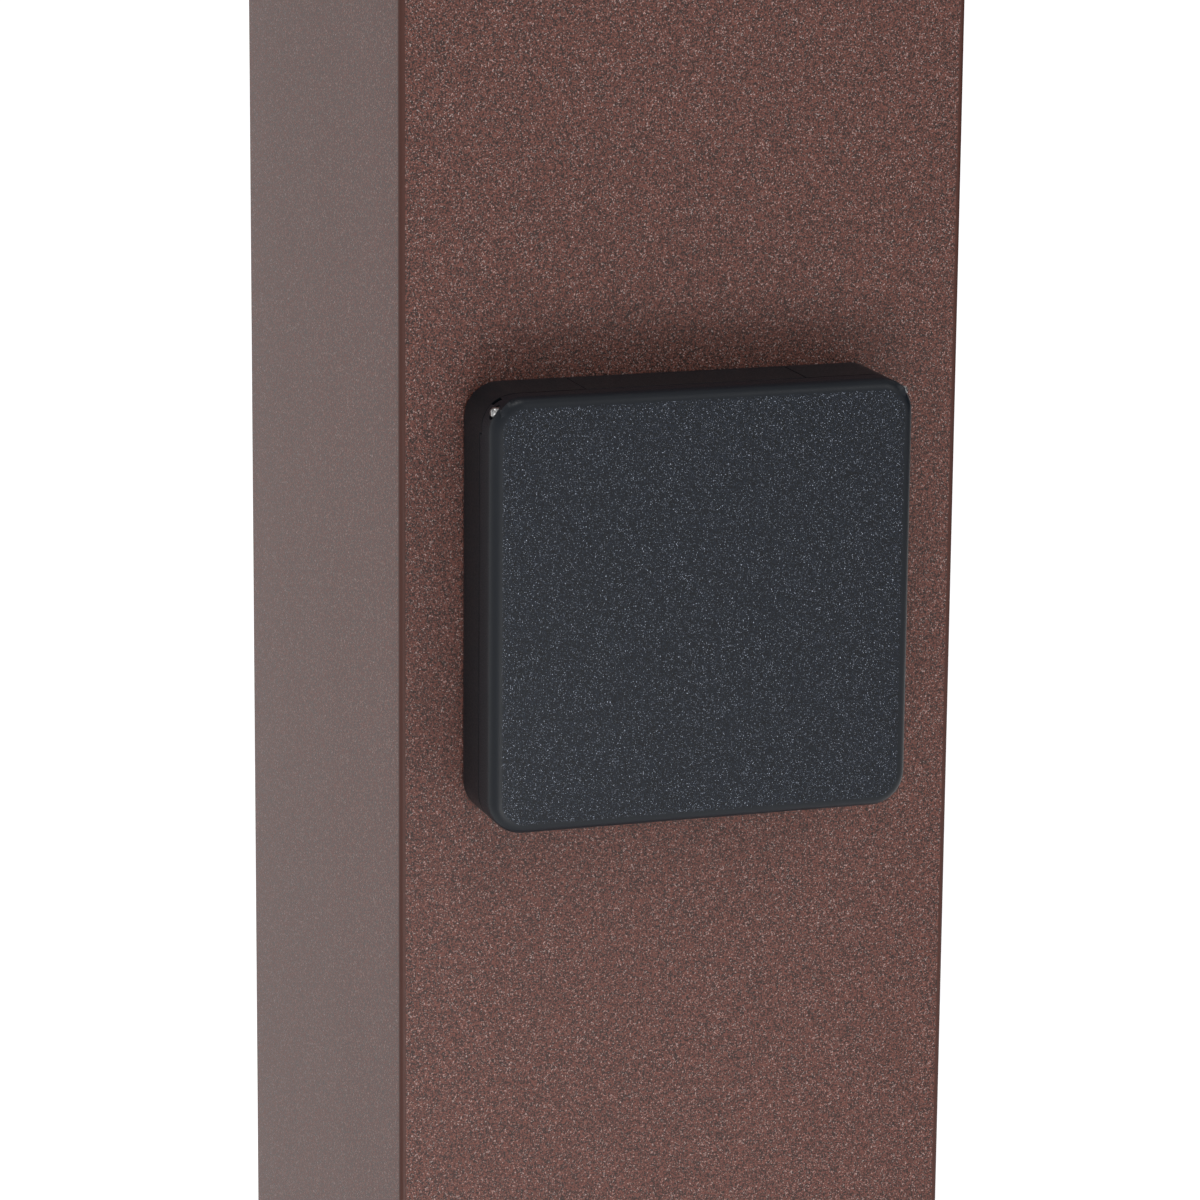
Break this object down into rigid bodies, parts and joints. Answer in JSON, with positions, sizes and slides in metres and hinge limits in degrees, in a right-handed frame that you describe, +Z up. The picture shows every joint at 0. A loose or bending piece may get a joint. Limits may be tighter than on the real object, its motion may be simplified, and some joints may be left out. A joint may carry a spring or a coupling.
{
  "type": "bollard light",
  "caption": "Square bollard light on a ground flange, with an opal lantern under a square cap and a weatherproof mains socket behind a sprung, top-hinged lid.",
  "frame": {"origin": "middle of the base flange's underside", "axes": "+Z up the post; -Y out of the face that carries the socket; +X to the right for someone facing that face"},
  "size_m": [0.17, 0.17, 0.8],
  "materials": {
    "brown_coat": "rust-brown powder coat, fine structure with a fine sparkle",
    "zinc_steel": "zinc-plated steel",
    "stainless": "stainless steel",
    "brass": "bare brass",
    "nickel_gland": "nickel-plated brass, satin",
    "housing_black": "near-black moulded plastic, fine satin",
    "lid_anthracite": "anthracite moulded plastic with a fine metallic sparkle",
    "insert_black": "black moulded plastic",
    "shutter_grey": "grey moulded plastic",
    "seal_rubber": "black cellular rubber",
    "box_grey": "light grey moulded plastic",
    "terminal_white": "natural polyamide",
    "opal_acrylic": "opal acrylic, satin",
    "reflector_white": "white lacquered aluminium",
    "bare_aluminium": "bare machined aluminium",
    "board_white": "white solder mask on an aluminium-core board",
    "led_phosphor": "yellow phosphor in silicone",
    "driver_case": "white moulded plastic",
    "lead_jacket": "black rubber jacket"
  },
  "bodies": {
    "root": {"base_flange": "brown_coat", "cap_screws": "stainless", "carrier_plate": "zinc_steel", "carrier_screws": "stainless", "clamping_screws": "brass", "contact_sleeves": "brass", "diffuser": "opal_acrylic", "driver_bracket": "zinc_steel", "driver_lead": "lead_jacket", "driver_lead_gland": "nickel_gland", "driver_screws": "stainless", "earth_contacts": "brass", "earth_nut": "brass", "earth_stud": "brass", "earth_washer": "zinc_steel", "foot_screws": "stainless", "head_deck": "brown_coat", "head_screws": "stainless", "heat_spreader": "bare_aluminium", "hinge_block": "housing_black", "housing_screws": "stainless", "inlet_gland": "nickel_gland", "insert_screws": "stainless", "junction_box": "box_grey", "junction_cover": "box_grey", "junction_cover_screws": "stainless", "lamp_cap": "brown_coat", "led_board": "board_white", "led_chips": "led_phosphor", "led_driver": "driver_case", "led_lead": "lead_jacket", "lid_spring": "stainless", "lower_gasket": "seal_rubber", "pillar_screws": "stainless", "pillars": "bare_aluminium", "post": "brown_coat", "reflector_cone": "reflector_white", "rivet_nuts": "stainless", "shutter_spring": "stainless", "socket_gasket": "seal_rubber", "socket_housing": "housing_black", "socket_insert": "insert_black", "socket_lead": "lead_jacket", "socket_lead_gland": "nickel_gland", "socket_pot": "insert_black", "spigot_tube": "zinc_steel", "terminal_block": "terminal_white", "terminal_screws": "brass", "upper_gasket": "seal_rubber"},
    "lid": {"lid": "lid_anthracite", "hinge_pin": "stainless", "lid_seal": "seal_rubber"},
    "shutter": {"shutter": "shutter_grey"}
  },
  "joints": [
    {"name": "lid_hinge", "type": "hinge", "parent": "root", "child": "lid", "pos_m": [-0.002, -0.0709, 0.4581], "axis": [-1, 0, 0], "range_deg": [0, 105], "stiffness_Nm_per_rad": 0.02, "springref_deg": -34.38},
    {"name": "shutter_slide", "type": "slide", "parent": "root", "child": "shutter", "axis": [0, 0, -1], "range_m": [0, 0.005], "stiffness_N_per_m": 150, "springref_m": -0.002, "deforming": ["shutter_spring"]}
  ]
}
